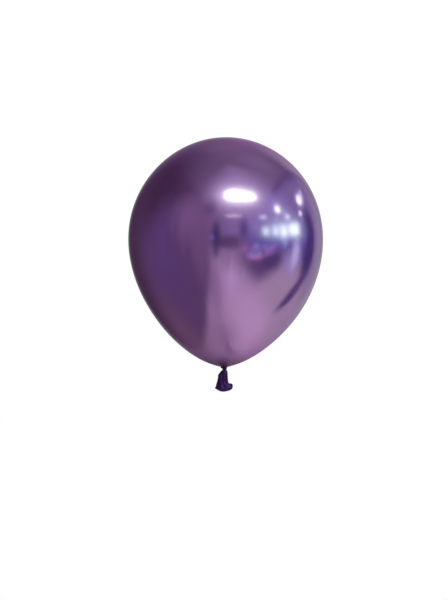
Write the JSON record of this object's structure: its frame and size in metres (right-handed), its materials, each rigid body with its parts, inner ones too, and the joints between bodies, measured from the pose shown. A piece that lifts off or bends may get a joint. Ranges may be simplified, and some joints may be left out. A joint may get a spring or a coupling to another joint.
{
  "type": "latex balloon",
  "caption": "Inflated pear-shaped latex party balloon with a hand-tied knot and a short slack tail that ends in a rolled lip.",
  "frame": {"origin": "on the axis at the throat, where the body ends and the knot begins: the point that a ribbon, a balloon cup or a stick holds", "axes": "+Z from the throat up to the crown, +X to the right seen from the front, +Y away from the viewer; the wide face of the tail lies in the XZ plane"},
  "size_m": [0.2794, 0.2794, 0.3653],
  "materials": {
    "pearl_film": "polished",
    "slack_film": "satin"
  },
  "bodies": {
    "envelope": {"envelope": "pearl_film"},
    "neck": {"neck_gather": "pearl_film"},
    "knot": {"knot_loop": "slack_film", "knot_strand": "slack_film"},
    "tail_root": {"tail_root": "slack_film"},
    "tail": {"tail_sleeve": "slack_film", "lip_bead": "slack_film"}
  },
  "joints": [
    {"name": "neck_side_bend", "type": "hinge", "parent": "envelope", "child": "neck", "pos_m": [0, 0, -0.0005], "axis": [0, 1, 0], "range_deg": [-15, 15], "stiffness_Nm_per_rad": 0.0005},
    {"name": "neck_fore_bend", "type": "hinge", "parent": "neck", "child": "knot", "pos_m": [0, 0, -0.0005], "axis": [1, 0, 0], "range_deg": [-15, 15], "stiffness_Nm_per_rad": 0.0005},
    {"name": "tail_side_bend", "type": "hinge", "parent": "knot", "child": "tail_root", "pos_m": [0, 0, -0.0048], "axis": [0, 1, 0], "range_deg": [-30, 30], "stiffness_Nm_per_rad": 0.0003},
    {"name": "tail_fore_bend", "type": "hinge", "parent": "tail_root", "child": "tail", "pos_m": [0, 0, -0.0048], "axis": [1, 0, 0], "range_deg": [-30, 30], "stiffness_Nm_per_rad": 0.0003}
  ]
}
